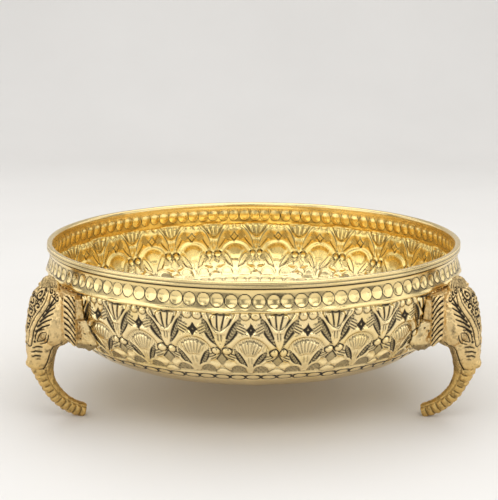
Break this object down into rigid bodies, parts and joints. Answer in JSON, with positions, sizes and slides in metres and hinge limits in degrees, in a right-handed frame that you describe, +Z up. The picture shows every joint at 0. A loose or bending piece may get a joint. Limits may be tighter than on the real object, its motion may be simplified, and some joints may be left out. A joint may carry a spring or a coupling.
{
  "type": "urli bowl",
  "caption": "Round sheet-brass floating-flower bowl with an embossed wall and wired rim, standing on three cast elephant-head legs.",
  "frame": {"origin": "on the plane the feet stand on, on the bowl's axis", "axes": "+Z up along the bowl's axis, -Y towards the middle of the gap between the two front legs, +Y towards the rear leg"},
  "size_m": [0.2628, 0.2787, 0.0965],
  "materials": {
    "sheet_brass": "polished",
    "cast_brass": "satin",
    "wire_brass": "polished",
    "rivet_brass": "polished",
    "braze_brass": "rough"
  },
  "bodies": {
    "root": {"bowl_shell": "sheet_brass", "rim_wire": "wire_brass", "leg_left": "cast_brass", "leg_right": "cast_brass", "leg_rear": "cast_brass", "rivet_left": "rivet_brass", "rivet_right": "rivet_brass", "rivet_rear": "rivet_brass", "braze_left": "braze_brass", "braze_right": "braze_brass", "braze_rear": "braze_brass"}
  },
  "joints": []
}
